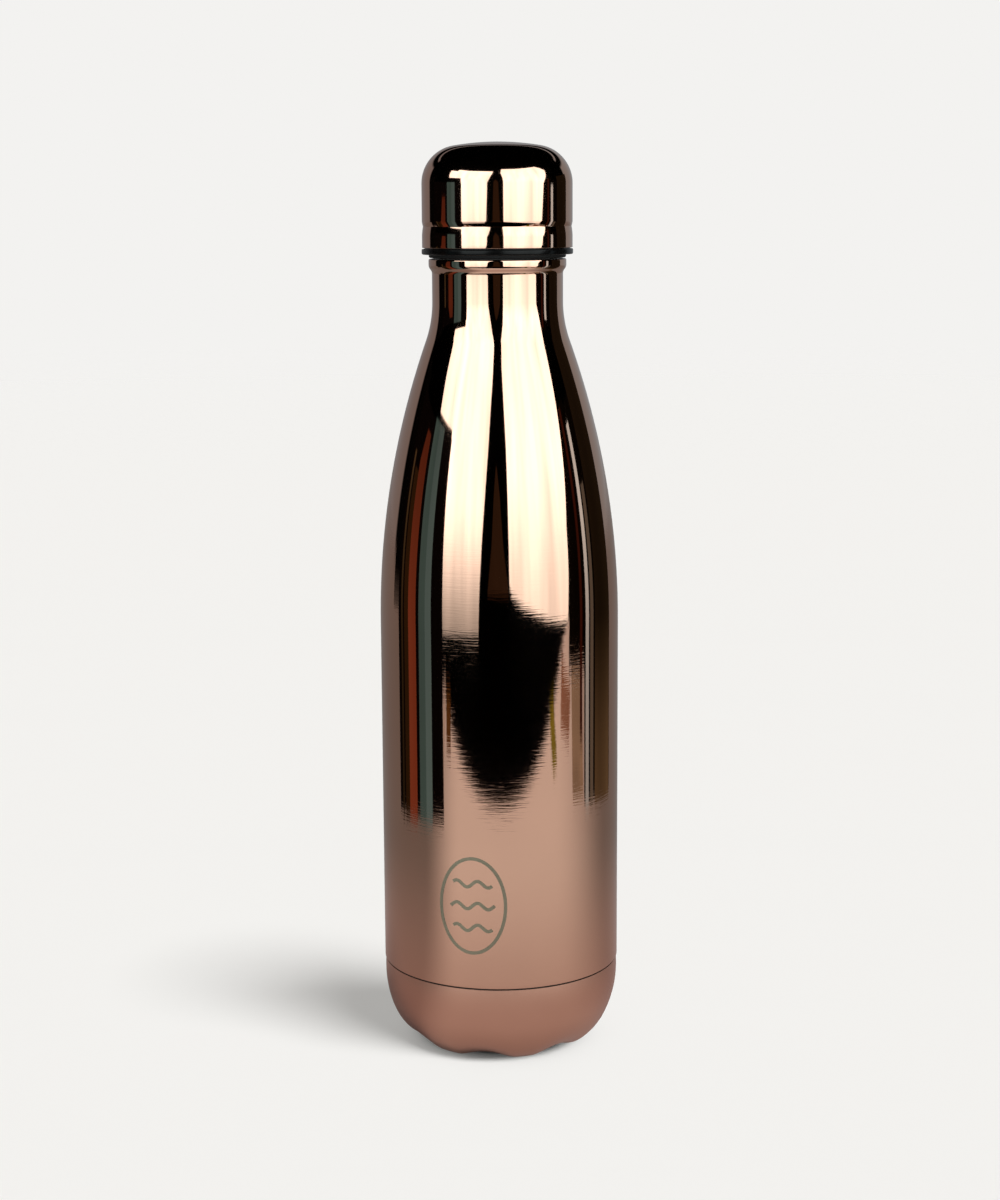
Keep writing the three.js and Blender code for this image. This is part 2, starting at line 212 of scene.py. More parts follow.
def shell_outline():
    radius = SHELL_R - MARK_PROUD
    outside = shoulder(radius, NECK_R, SHOULDER_ARC_R, NECK_ARC_R)
    inside = shoulder(radius - SHEET, NECK_R - SHEET, SHOULDER_ARC_R - SHEET, NECK_ARC_R + SHEET)
    bottom = rounded([
        (radius - SHEET, SHELL_Z + 1), (radius - SHEET, SHELL_Z), (radius, SHELL_Z, EDGE_ROUND),
        (radius, SHELL_Z + 1),
    ], closed=False)
    lip = rounded([
        (COLLAR_R, MOUTH_Z - 1), (COLLAR_R, MOUTH_Z, 0.75), (COLLAR_R - 1, MOUTH_Z, 0.1),
        (COLLAR_R - 1, MOUTH_Z - SHEET), (COLLAR_R - SHEET, MOUTH_Z - 1),
    ], closed=False)
    return [*bottom, *outside, *collar(0), *lip, *collar(SHEET)[::-1], *inside[::-1]]


def base_outline():
    side = (BASE_R - FOOT_R, BASE_ROUND_H - FOOT_Z)
    top_angle = math.degrees(math.asin((BASE_TOP_Z - BASE_ROUND_H) / BASE_ROUND_H))
    under = rounded([
        (PORT_R, PORT_SEAT_Z), (3.5, PORT_SEAT_Z, 0.4), (4.5, RECESS_Z, 0.5), (RECESS_R, RECESS_Z, 0.5),
        (RECESS_R + 1.2, 3.3, 1), (FOOT_R - 5, 0.9, 2), (FOOT_R - 2.6, 0),
    ], closed=False)
    outside = arc((FOOT_R, BASE_ROUND_H), side, -90, top_angle, 48)
    end = outside.pop()
    lip = rounded([
        end, (outside[-1][0], BASE_TOP_Z, EDGE_ROUND), (BASE_LIP_R, BASE_TOP_Z, 0.1),
        (BASE_LIP_R, BASE_LIP_Z, 0.2), (BASE_LIP_R - BASE_SHEET, BASE_LIP_Z, 0.2),
        (BASE_LIP_R - BASE_SHEET, SHELL_Z - 1),
    ], closed=False)
    inside = arc((FOOT_R, BASE_ROUND_H), (side[0] - BASE_SHEET, side[1] - BASE_SHEET), -5, -90, 20)
    floor = [(r, z + BASE_SHEET) for r, z in under[::-1]]
    return [*under, *outside, *lip, *inside, *floor]


def seam_shade_outline():
    """A dark ring at the bottom of the seam: painted shade for the gap between shell and base."""
    return rounded([
        (SEAM_SHADE_INNER_R, BASE_TOP_Z), (SEAM_SHADE_R, BASE_TOP_Z), (SEAM_SHADE_R, SHELL_Z), (SEAM_SHADE_INNER_R, SHELL_Z),
    ])


def press_petals(r, z, turn):
    """Lifts the valleys between the seven feet off the ground, and runs them up the side."""
    wave = math.sin(PETALS / 2 * (turn - PETAL_PHASE)) ** 2
    valley = max(0.0, (wave - FLAT_SHARE) / (1 - FLAT_SHARE))
    low = min(max(1 - z / VALLEY_TOP_Z, 0.0), 1.0)
    start, end = RECESS_R + 1, FOOT_R - 2
    t = min(max((r - start) / (end - start), 0.0), 1.0)
    depth = VALLEY_WALL_DEPTH * low + (VALLEY_DEPTH - VALLEY_WALL_DEPTH) * low ** 3
    out = max(0.0, r - FOOT_R) / (BASE_R - FOOT_R) ** 2
    down = (z - BASE_ROUND_H) / BASE_ROUND_H ** 2
    push = depth * valley * t * t * (3 - 2 * t) / math.hypot(out, down)
    return r - push * out, z - push * down


def groove_at(r, z):
    """How far the lid's groove takes a wall of radius r in, at height z."""
    along = (z - GROOVE_Z) / (GROOVE_ABOVE if z > GROOVE_Z else -GROOVE_BELOW)
    return r - GROOVE_DEPTH * max(0, 1 - along) ** 1.6, z


def groove_rows(steps):
    """Heights from below the groove to above it, closest together at its line."""
    below = [GROOVE_Z - GROOVE_BELOW * (1 - step / steps) ** 1.5 for step in range(steps + 1)]
    above = [GROOVE_Z + GROOVE_ABOVE * (step / steps) ** 1.5 for step in range(1, steps + 1)]
    return below + above


def dome(wall_r, crown_r, corner_r, top_z):
    """The cover's top: a round corner out of the wall, running tangent into a shallow crown."""
    crown_z = top_z - crown_r
    centre_r = wall_r - corner_r
    centre_z = crown_z + math.sqrt((crown_r - corner_r) ** 2 - centre_r ** 2)
    meet = math.degrees(math.atan2(centre_z - crown_z, centre_r))
    return [*arc((centre_r, centre_z), corner_r, 0, meet, 28), *arc((0, crown_z), crown_r, meet, 90, 12)[1:]]


def lid_shell_outline():
    inner_r = LID_R - SHEET
    rise = groove_rows(10)
    edge = rounded([(inner_r, LID_EDGE_Z), (LID_R, LID_EDGE_Z, 0.18), (LID_R, LID_EDGE_Z + 1)], closed=False)
    return [
        *edge, *[groove_at(LID_R, z) for z in rise], *dome(LID_R, CROWN_R, LID_CORNER_R, TOP_Z),
        *dome(inner_r, CROWN_R - SHEET, LID_CORNER_R - SHEET, TOP_Z - SHEET)[::-1],
        *[groove_at(inner_r, z) for z in rise[::-1]],
    ]


def lid_core_outline():
    wall = 1.75
    recess_r = COLLAR_R + 0.2
    inner_r = CORE_R - wall
    shoulder_z = 254
    top_r = 14
    rise = groove_rows(4)
    rim = rounded([
        (recess_r, FLANGE_Z + 0.1), (recess_r, RIM_Z, 0.15), (RIM_R, RIM_Z, 0.5), (RIM_R, RIM_TOP_Z, 0.4),
        (CORE_R, RIM_TOP_Z), (CORE_R, RIM_TOP_Z + 1),
    ], closed=False)
    top = rounded([
        (CORE_R, shoulder_z - 2), (CORE_R, shoulder_z, 1.5), (top_r, CORE_TOP_Z, 1.5), (0, CORE_TOP_Z),
        (0, CORE_TOP_Z - wall), (top_r - 0.7, CORE_TOP_Z - wall), (inner_r, shoulder_z - 0.8),
        (inner_r, FLANGE_Z + 0.3),
    ], closed=False)
    return [*rim, *[groove_at(CORE_R, z) for z in rise], *top]


def gasket_outline():
    inner_r = PLUG_R + 0.3
    return rounded([
        (inner_r, GASKET_Z, 0.2), (GASKET_R, GASKET_Z, 0.55), (GASKET_R, GASKET_TOP_Z, 0.3),
        (inner_r, GASKET_TOP_Z, 0.2),
    ])


def plug_outline():
    bore_r = PLUG_R - PLUG_WALL
    rise = thread_rows(NECK_THREAD_Z - LEAD / STARTS / 2)
    bottom = rounded([
        (bore_r, PLUG_Z + 2), (bore_r, PLUG_Z, 0.3), (PLUG_R, PLUG_Z, 1), (PLUG_R, PLUG_Z + 1.6),
    ], closed=False)
    flange = rounded([
        (PLUG_R, FLANGE_Z - 2), (PLUG_R, FLANGE_Z, 0.3), (PLUG_FLANGE_R, FLANGE_Z, 0.25),
        (PLUG_FLANGE_R, PLUG_TOP_Z, 0.3), (bore_r, PLUG_TOP_Z, 0.3), (bore_r, PLUG_TOP_Z - 2),
    ], closed=False)
    return [*bottom, *[(PLUG_R, z) for z in rise], *flange]


def cap_outline():
    return rounded([
        (0, CAP_Z + 0.35), (CAP_R * 0.55, CAP_Z + 0.35, 1), (CAP_R * 0.62, CAP_Z, 1), (CAP_R, CAP_Z, 0.45),
        (CAP_R, CAP_TOP_Z, 0.2), (0, CAP_TOP_Z),
    ], closed=False)


def liner_outline():
    bore_r = LINER_NECK_R - SHEET
    outside = shoulder(LINER_R, LINER_NECK_R, SHOULDER_ARC_R, NECK_ARC_R)
    inside = shoulder(LINER_R - SHEET, bore_r, SHOULDER_ARC_R - SHEET, NECK_ARC_R + SHEET)
    lip_r = COLLAR_R - 1.25
    rise = thread_rows(NECK_THREAD_Z)
    lip = rounded([
        (LINER_NECK_R, MOUTH_Z - 2), (LINER_NECK_R, MOUTH_Z - SHEET, 0.4), (lip_r, MOUTH_Z - SHEET),
        (lip_r, MOUTH_Z, 0.1), (bore_r, MOUTH_Z, 0.8), (bore_r, MOUTH_Z - 1.6),
    ], closed=False)
    bottom = [(LINER_R - SHEET, LINER_END_Z), (LINER_R, LINER_END_Z)]
    return [*bottom, *outside, *lip, *[(bore_r, z) for z in rise[::-1]], *inside[::-1]]


def liner_base_outline():
    corner = 8
    centre = (LINER_R - corner, LINER_FLOOR_Z + corner)
    top = LINER_END_Z - 0.3
    crown = rounded([
        (0, LINER_FLOOR_Z + 1), (centre[0] / 2, LINER_FLOOR_Z + 0.7, 6), (centre[0], LINER_FLOOR_Z),
    ], closed=False, steps=8)
    return [
        *crown[:-1], *arc(centre, corner, -90, 0, 12)[:-1], (LINER_R, top), (LINER_R - SHEET, top),
        *arc(centre, corner - SHEET, 0, -90, 12)[1:], *[(r, z + SHEET) for r, z in crown[-2::-1]],
    ]


def disc_outline():
    return rounded([
        (0, DISC_Z + 0.2), (DISC_R * 0.5, DISC_Z + 0.2, 1.5), (DISC_R * 0.6, DISC_Z, 1.5),
        (DISC_R, DISC_Z, 0.4), (DISC_R, DISC_TOP_Z), (0, DISC_TOP_Z),
    ], closed=False)


# ---- threads --------------------------------------------------------------------------------------
def thread_rows(start_z):
    """Close rows over a thread's height, for the ridges to be raised on."""
    low = start_z - THREAD_HALF
    high = start_z + LEAD * THREAD_TURNS + THREAD_HALF
    rows = 64
    return [low + (high - low) * row / rows for row in range(rows + 1)]


def ridge(z, turn, start_z):
    """From 0 beside a thread to 1 on its crest. The ridges taper away over their first and last stretch."""
    taper = 0.07
    best = 0.0
    from_x = turn - math.pi / 2
    for start in range(STARTS):
        along = (from_x / (2 * math.pi) + start / STARTS) % 1
        if along > THREAD_TURNS:
            continue
        across = (z - start_z - LEAD * along) / THREAD_HALF
        fade = min(1, along / taper, (THREAD_TURNS - along) / taper)
        if abs(across) < 1:
            best = max(best, math.cos(math.pi / 2 * across) ** 0.8 * fade)
    return best


def raise_plug_thread(r, z, turn):
    if abs(r - PLUG_R) > 0.01:
        return r, z
    return r + PLUG_THREAD_H * ridge(z, turn, NECK_THREAD_Z - LEAD / STARTS / 2), z


def press_neck_thread(r, z, turn):
    if abs(r - LINER_NECK_R + SHEET) > 0.01:
        return r, z
    return r - NECK_THREAD_H * ridge(z, turn, NECK_THREAD_Z), z


# ---- meshes ---------------------------------------------------------------------------------------
def finished(name, mesh):
    """Points a mesh's faces outwards, smooths all but its sharp edges, and makes it an object."""
    edit = bmesh.new()
    edit.from_mesh(mesh)
    bmesh.ops.remove_doubles(edit, verts=edit.verts, dist=1e-7)
    bmesh.ops.recalc_face_normals(edit, faces=edit.faces)
    edit.to_mesh(mesh)
    edit.free()
    mesh.shade_smooth()
    mesh.set_sharp_from_angle(angle=SHARP_ANGLE)
    made = bpy.data.objects.new(name, mesh)
    bpy.context.collection.objects.link(made)
    return made


def turned(name, outline, shape=None):
    """Turns an outline round Z. shape(r, z, turn) moves each point, where one is given."""
    on_axis = [r < 1e-6 for r, _ in outline]
    vertices, rings = [], []
    for (r, z), single in zip(outline, on_axis):
        ring = []
        for step in range(1 if single else SEGMENTS):
            turn = 2 * math.pi * step / SEGMENTS + PETAL_PHASE
            new_r, new_z = shape(r, z, turn) if shape else (r, z)
            ring.append(len(vertices))
            vertices.append((new_r * math.sin(turn) * MM, -new_r * math.cos(turn) * MM, new_z * MM))
        rings.append(ring)
    pairs = list(zip(rings, rings[1:]))
    if not (on_axis[0] and on_axis[-1]):
        pairs.append((rings[-1], rings[0]))
    faces = []
    for low, high in pairs:
        for step in range(SEGMENTS if len(low) + len(high) > 2 else 0):
            after = (step + 1) % SEGMENTS
            start, end = step % len(low), after % len(low)
            quad = [low[start], low[end], high[after % len(high)], high[step % len(high)]]
            faces.append(list(dict.fromkeys(quad)))
    mesh = bpy.data.meshes.new(name)
    mesh.from_pydata(vertices, [], faces)
    return finished(name, mesh)


def stand_for(made, node, material):
    """The piece takes a CAD node's place: its body and its part in the picture."""
    made.data.materials.append(material)
    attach(made, BODY_OF[node])
    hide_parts(node)


# ---- materials ------------------------------------------------------------------------------------
def add(tree, kind, inputs=(), **settings):
    """A shader node. Each input is set to a number or colour, or joined to another node's output."""
    node = tree.nodes.new(kind)
    for key, value in settings.items():
        setattr(node, key, value)
    for key, value in dict(inputs).items():
        if isinstance(value, bpy.types.NodeSocket):
            tree.links.new(value, node.inputs[key])
        else:
            node.inputs[key].default_value = value
    return node


def material(name):
    made = bpy.data.materials.new(name)
    made.use_nodes = True
    made.node_tree.nodes.clear()
    return made, made.node_tree


def noise(tree, scale, detail=2.0, seed=0.0):
    """Noise in the piece's own space. scale is how many features fit in a metre along X, Y and Z."""
    place = add(tree, "ShaderNodeTexCoord").outputs["Object"]
    scaled = add(tree, "ShaderNodeMapping", {"Vector": place, "Scale": scale, "Location": (seed,) * 3})
    texture = add(tree, "ShaderNodeTexNoise", {"Vector": scaled.outputs[0], "Scale": 1.0, "Detail": detail})
    return texture.outputs[0]


def spread(tree, value, low, high, start=0.3, end=0.7):
    """Stretches a noise value over a wanted range."""
    ranged = add(tree, "ShaderNodeMapRange", {
        "Value": value, "From Min": start, "From Max": end, "To Min": low, "To Max": high})
    return ranged.outputs[0]


def blend(tree, factor, first, second, way="MIX"):
    """Mixes two colours. The Mix node's colour sockets are its numbers 6, 7 and, for the result, 2."""
    inputs = {0: factor, 6: first, 7: second}
    return add(tree, "ShaderNodeMix", inputs, data_type="RGBA", blend_type=way).outputs[2]


def ramp(tree, value, low, high):
    """0 up to low, 1 from high on, smooth between. It falls with a rising value where low is above high."""
    smooth = add(tree, "ShaderNodeMapRange", {"Value": value, "From Min": low, "From Max": high},
                 interpolation_type="SMOOTHSTEP")
    return smooth.outputs[0]


def compute(tree, operation, first, second=0.0):
    return add(tree, "ShaderNodeMath", {0: first, 1: second}, operation=operation).outputs[0]


def bump(tree, height, depth, under=None):
    """Relief from a height, `depth` metres between its lowest and highest."""
    inputs = {"Height": height, "Distance": depth, "Strength": 1.0}
    if under is not None:
        inputs["Normal"] = under
    return add(tree, "ShaderNodeBump", inputs).outputs[0]


def surface(tree, inputs):
    shader = add(tree, "ShaderNodeBsdfPrincipled", inputs).outputs[0]
    add(tree, "ShaderNodeOutputMaterial", {"Surface": shader})


def tint(colour, factor):
    return (*[min(1.0, channel * factor) for channel in colour], 1.0)


STREAKS_FADE = (0.18, 0.135)  # from the first height down to the second, in metres, coarse lines set in
MATT_FOOT = (0.085, 0.03)  # and between these two the metal grows rougher


def brushed_metal(name, colour, roughness, streak_depth, hairline_depth, stretch=0.5, worn=False):
    """Metal with fine lines round the bottle, which draw its reflections out up and down.

    Worn metal is rougher towards its foot, and the coarser lines are only on its lower part.
    """
    made, tree = material(name)
    hairlines = noise(tree, (70, 70, 5200), detail=3)
    streaks = noise(tree, (120, 120, 2000), detail=3, seed=4)
    handling = noise(tree, (30, 30, 22), detail=4, seed=9)
    grain = spread(tree, handling, roughness * 0.85, roughness * 1.2)
    if worn:
        place = add(tree, "ShaderNodeTexCoord").outputs["Object"]
        height = add(tree, "ShaderNodeSeparateXYZ", {0: place}).outputs[2]
        streaks = compute(tree, "MULTIPLY", streaks, ramp(tree, height, *STREAKS_FADE))
        rougher = compute(tree, "MULTIPLY", ramp(tree, height, *MATT_FOOT), 2.0)
        grain = compute(tree, "MULTIPLY", grain, compute(tree, "ADD", rougher, 1.0))
    relief = bump(tree, streaks, streak_depth)
    surface(tree, {
        "Base Color": blend(tree, spread(tree, handling, 0.0, 1.0), tint(colour, 0.96), tint(colour, 1.04)),
        "Metallic": 1.0,
        "Roughness": grain,
        "Anisotropic": stretch,
        "Anisotropic Rotation": 0.25,
        "Tangent": add(tree, "ShaderNodeTangent", direction_type="RADIAL", axis="Z").outputs[0],
        "Normal": bump(tree, hairlines, hairline_depth, relief),
    })
    return made


def moulded(name, colour, roughness, grain_scale, grain_depth, specular=0.5):
    """Moulded plastic or rubber: an even colour with a fine skin and slight flow marks."""
    made, tree = material(name)
    grain = noise(tree, (grain_scale,) * 3, detail=3)
    flow = noise(tree, (60, 60, 160), detail=3, seed=3)
    surface(tree, {
        "Base Color": blend(tree, spread(tree, flow, 0.0, 1.0), tint(colour, 0.85), tint(colour, 1.2)),
        "Roughness": spread(tree, flow, roughness * 0.85, roughness * 1.15),
        "Specular IOR Level": specular,
        "Normal": bump(tree, grain, grain_depth),
    })
    return made


def foam(name):
    made, tree = material(name)
    place = add(tree, "ShaderNodeTexCoord").outputs["Object"]
    cells = add(tree, "ShaderNodeTexVoronoi", {"Vector": place, "Scale": 900.0}).outputs["Distance"]
    surface(tree, {
        "Base Color": blend(tree, cells, (0.62, 0.6, 0.55, 1), (0.86, 0.84, 0.79, 1)),
        "Roughness": 0.95,
        "Normal": bump(tree, cells, 0.0002),
    })
    return made


def glassy(name):
    made, tree = material(name)
    cloud = noise(tree, (700, 700, 700), detail=3)
    surface(tree, {
        "Base Color": blend(tree, cloud, (0.03, 0.05, 0.03, 1), (0.12, 0.16, 0.1, 1)),
        "Roughness": spread(tree, cloud, 0.06, 0.2),
        "Coat Weight": 0.5,
        "Normal": bump(tree, cloud, 0.00003),
    })
    return made


ROSE_COPPER = (0.56, 0.34, 0.25)
# the body's copper made darker and redder for the base: painted shade and painted reddish bounce light
SHADED_BASE_COPPER = (0.53, 0.31, 0.23)
STEEL = (0.6, 0.58, 0.55)
COPPER = (0.83, 0.46, 0.3)

body_finish = brushed_metal("body_finish", ROSE_COPPER, 0.04, 9.0e-6, 5.0e-7, worn=True)
lid_finish = brushed_metal("lid_finish", ROSE_COPPER, 0.05, 1.5e-6, 2.0e-7, stretch=0.2)
base_finish = brushed_metal("base_finish", SHADED_BASE_COPPER, 0.24, 3.0e-6, 8.0e-7, stretch=0.2)
liner_finish = brushed_metal("liner_finish", STEEL, 0.26, 4.0e-6, 1.5e-6)
etched_finish = brushed_metal("etched_finish", (0.24, 0.22, 0.16), 0.4, 2.0e-6, 2.0e-6, stretch=0.2)
foil_finish = brushed_metal("foil_finish", COPPER, 0.2, 2.0e-5, 1.0e-6)
getter_finish = moulded("getter_finish", (0.18, 0.18, 0.19), 0.7, 3000, 3.0e-5)
rim_finish = moulded("rim_finish", (0.003, 0.003, 0.003), 0.2, 2500, 2.0e-6, specular=0.11)
plug_finish = moulded("plug_finish", (0.016, 0.016, 0.017), 0.38, 1800, 6.0e-6)
gasket_finish = moulded("gasket_finish", (0.004, 0.004, 0.004), 0.6, 1500, 1.0e-5, specular=0.15)
# painted shade for the seam's gap
seam_shade_finish = moulded("seam_shade_finish", (0.012, 0.007, 0.005), 0.6, 1500, 1.0e-5, specular=0.2)
foam_finish = foam("foam_finish")
seal_finish = glassy("seal_finish")


# ---- the bottle -----------------------------------------------------------------------------------
def strip(name, path, width, loop):
    """A thin raised line on the body. path is (distance round it, height) from the mark's middle."""
    edges = ((1, MARK_TOP_R), (-1, MARK_TOP_R), (-1, MARK_SUNK_R), (1, MARK_SUNK_R))
    vertices, faces = [], []
    count = len(path)
    for i, point in enumerate(path):
        before = path[i - 1] if loop or i else point
        after = path[(i + 1) % count] if loop or i < count - 1 else point
        direction = (Vector(after) - Vector(before)).normalized()
        side = Vector((-direction.y, direction.x)) * width / 2
        for sign, radius in edges:
            turn = MARK_TURN + (point[0] + sign * side.x) / SHELL_R
            height = MARK_Z + point[1] + sign * side.y
            vertices.append((radius * math.sin(turn) * MM, -radius * math.cos(turn) * MM, height * MM))
    for i in range(count if loop else count - 1):
        near, far = 4 * i, 4 * ((i + 1) % count)
        faces += [[near + k, near + (k + 1) % 4, far + (k + 1) % 4, far + k] for k in range(4)]
    if not loop:
        faces += [[0, 1, 2, 3], [4 * count - 1, 4 * count - 2, 4 * count - 3, 4 * count - 4]]
    mesh = bpy.data.meshes.new(name)
    mesh.from_pydata(vertices, [], faces)
    made = finished(name, mesh)
    made.data.materials.append(etched_finish)
    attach(made, "flask")


def etched_mark():
    """A plain sign for water: an upright ring with three waves in it."""
    ring_steps, half_steps = 96, 24
    ring = []
    for step in range(ring_steps):
        angle = 2 * math.pi * step / ring_steps
        ring.append((MARK_HALF_W * math.cos(angle), MARK_HALF_H * math.sin(angle)))
    strip("mark_ring", ring, MARK_LINE, loop=True)
    for row, height in enumerate(WAVE_ROWS):
        half = WAVE_SHARE * MARK_HALF_W * math.sqrt(1 - (height / MARK_HALF_H) ** 2)
        wave = []
        for step in range(2 * half_steps + 1):
            across = half * (step / half_steps - 1)
            wave.append((across, height + WAVE_HEIGHT * math.sin(2 * math.pi * across / WAVE_LENGTH)))
        strip(f"mark_wave_{row + 1}", wave, MARK_LINE, loop=False)


# painted shade: a near-black ring in the gap of the seam
def seam_shade_ring():
    weld = turned("seam_shade_ring", seam_shade_outline())
    weld.data.materials.append(seam_shade_finish)
    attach(weld, "flask")


def build_bottle():
    stand_for(turned("shell_skin", shell_outline()), "outer_shell", body_finish)
    stand_for(turned("base_petals", base_outline(), press_petals), "outer_base", base_finish)
    stand_for(turned("lid_dome", lid_shell_outline()), "lid_shell", lid_finish)
    stand_for(turned("lid_rim", lid_core_outline()), "lid_core", rim_finish)
    stand_for(turned("gasket_ring", gasket_outline()), "mouth_gasket", gasket_finish)
    stand_for(turned("plug_threads", plug_outline(), raise_plug_thread), "threaded_plug", plug_finish)
    stand_for(turned("plug_cap", cap_outline()), "plug_end_cap", plug_finish)
    stand_for(turned("liner_bore", liner_outline(), press_neck_thread), "inner_liner", liner_finish)
    stand_for(turned("liner_floor", liner_base_outline()), "liner_base", liner_finish)
    stand_for(turned("port_disc", disc_outline()), "base_cover_disc", base_finish)
    etched_mark()
    seam_shade_ring()
    hidden = {
        "copper_foil": foil_finish,
        "getter_bracket": liner_finish,
        "getter_pellet": getter_finish,
        "vacuum_seal_bead": seal_finish,
        "lid_insulation": foam_finish,
    }
    for node, finish in hidden.items():
        frame["nodes"][node].data.materials.clear()
        frame["nodes"][node].data.materials.append(finish)


# ---- the studio -----------------------------------------------------------------------------------
BLACK = (0.0, 0.0, 0.0, 1.0)
WHITE = (1.0, 1.0, 1.0, 1.0)
PALE = (0.896, 0.888, 0.871, 1.0)  # the backdrop, as the camera sees it
SOFT_LIGHT = 0.45  # share of the floor's brightness that comes from all round
FLOOR_ALBEDO = 0.92
FLOOR_PAINT = tint(PALE[:3], FLOOR_ALBEDO / PALE[0])
TABLE_LIT = (1.03, 1.03, 1.03, 1.0)  # how polished metal sees the floor, against how the camera does
TABLE_DIM = (0.26, 0.25, 0.25, 1.0)
TABLE_DIM_NEAR = (0.6, 0.54, 0.54, 1.0)
# painted shade: how polished metal sees the table under the bottle, darker again round its feet
TABLE_SHADE_UNDER_BOTTLE = (0.68, 0.57, 0.55, 1.0)
TABLE_SHADE_AT_FEET = (0.42, 0.32, 0.3, 1.0)
TABLE_LEFT = (math.radians(-74), math.radians(-36))  # angles from dim to lit, at both sides
TABLE_RIGHT = (math.radians(118), math.radians(48))
TABLE_FRONT = -0.33  # past this edge polished metal sees a dark room
WALL_LEFT = (0.27, 0.27, 0.28, 1.0)  # the room behind the bottle, as its edges reflect it
WALL_RIGHT = (0.33, 0.36, 0.38, 1.0)
FLOOR_HALF = 5.0
FLOOR_FADE = (1.2, 3.5)  # distances from the bottle over which the floor gives way to the backdrop
KEY_TURN = math.radians(55)  # the one light's direction and softness
KEY_HEIGHT = math.radians(70)
KEY_SPREAD = math.radians(16)


def floor_finish():
    """Pale and even. In reflections it is a table with painted light and shade: bright in front, dim at the
    sides, painted shade under the bottle and darker still round its feet, dark past its edge.
    """
    made, tree = material("floor_finish")
    place = add(tree, "ShaderNodeTexCoord").outputs["Object"]
    x, y, _ = add(tree, "ShaderNodeSeparateXYZ", {0: place}).outputs
    turn = compute(tree, "ARCTAN2", x, compute(tree, "MULTIPLY", y, -1.0))
    squares = compute(tree, "ADD", compute(tree, "MULTIPLY", x, x), compute(tree, "MULTIPLY", y, y))
    far = compute(tree, "SQRT", squares)
    lit = compute(tree, "MULTIPLY", ramp(tree, turn, *TABLE_LEFT), ramp(tree, turn, *TABLE_RIGHT))
    dim = blend(tree, ramp(tree, far, 0.05, 0.26), TABLE_DIM_NEAR, TABLE_DIM)
    table = blend(tree, lit, dim, TABLE_LIT)
    # painted shade: the table darker under the bottle and darkest round its feet, as reflections see it
    near = blend(tree, ramp(tree, far, 0.03, 0.25), TABLE_SHADE_UNDER_BOTTLE, WHITE)
    near = blend(tree, ramp(tree, far, 0.018, 0.046), TABLE_SHADE_AT_FEET, near)
    on_table = ramp(tree, y, TABLE_FRONT - 0.004, TABLE_FRONT + 0.004)
    seen = blend(tree, on_table, BLACK, blend(tree, 1.0, table, near, "MULTIPLY"))
    glossy = add(tree, "ShaderNodeLightPath").outputs["Is Glossy Ray"]
    colour = blend(tree, glossy, FLOOR_PAINT, blend(tree, 1.0, FLOOR_PAINT, seen, "MULTIPLY"))
    paint = add(tree, "ShaderNodeBsdfDiffuse", {"Color": colour}).outputs[0]
    clear = add(tree, "ShaderNodeBsdfTransparent").outputs[0]
    faded = add(tree, "ShaderNodeMixShader", {0: ramp(tree, far, *FLOOR_FADE), 1: paint, 2: clear})
    add(tree, "ShaderNodeOutputMaterial", {"Surface": faded.outputs[0]})
    return made


def sheet(name, vertices, faces, finish):
    mesh = bpy.data.meshes.new(name)
    mesh.from_pydata(vertices, [], faces)
    mesh.materials.append(finish)
    made = bpy.data.objects.new(name, mesh)
    bpy.context.collection.objects.link(made)
    return made


def show_only_to(rays, made):
    """Hides an object from every other kind of ray."""
    for ray in ("camera", "glossy", "diffuse", "transmission", "volume_scatter", "shadow"):
        setattr(made, f"visible_{ray}", ray in rays)


def build_floor():
    half = FLOOR_HALF
    corners = [(-half, -half, 0), (half, -half, 0), (half, half, 0), (-half, half, 0)]
    floor = sheet("floor", corners, [[0, 1, 2, 3]], floor_finish())


def shade(name, outline, rays):
    """A black form inside the bottle that only the named kinds of ray see."""
    made, tree = material(f"{name}_finish")
    black = add(tree, "ShaderNodeBsdfDiffuse", {"Color": BLACK}).outputs[0]
    add(tree, "ShaderNodeOutputMaterial", {"Surface": black})
    form = turned(name, outline)
    form.data.materials.append(made)
    show_only_to(rays, form)


def build_shadow():
    """The bottle leaves the floor its even light.

    A slim post inside it casts a slim shadow, and a low form among its feet darkens the floor under it.
    """
    for part in bpy.context.scene.objects:
        part.visible_diffuse = False
        part.visible_shadow = False
    body_r, neck_r = FOOT_R + 7, COLLAR_R - 3
    post = [(0, 1), (FOOT_R, 1), (body_r, 15), (body_r, 120), (neck_r, 200), (neck_r, 250), (0, 250)]
    shade("post", post, ("shadow",))
    shade("contact", [(0, 1), (FOOT_R, 1), (FOOT_R + 3, 4), (0, 4)], ("diffuse",))


def build_world():
    """Pale to the camera, and soft light on what is matt. Polished metal sees a dim wall behind the bottle
    and darkness in front.
    """
    world = bpy.data.worlds.new("studio")
    world.use_nodes = True
    bpy.context.scene.world = world
    tree = world.node_tree
    tree.nodes.clear()
    path = add(tree, "ShaderNodeLightPath").outputs
    way = add(tree, "ShaderNodeTexCoord").outputs["Generated"]
    x, y, z = add(tree, "ShaderNodeSeparateXYZ", {0: way}).outputs
    walls = blend(tree, ramp(tree, x, -0.3, 0.3), WALL_LEFT, WALL_RIGHT)
    behind = ramp(tree, y, 0.55, 0.6)
    low = ramp(tree, z, 0.4, 0.34)
    cornice = compute(tree, "MULTIPLY", ramp(tree, z, 0.49, 0.51), ramp(tree, z, 0.55, 0.53))
    lit = compute(tree, "MULTIPLY", behind, compute(tree, "ADD", low, cornice))
    wall = blend(tree, lit, BLACK, walls)
    seen = blend(tree, path["Is Glossy Ray"], tint(PALE[:3], SOFT_LIGHT / PALE[0]), wall)
    shown = blend(tree, path["Is Camera Ray"], seen, PALE)
    background = add(tree, "ShaderNodeBackground", {"Color": shown}).outputs[0]
    add(tree, "ShaderNodeOutputWorld", {"Surface": background})


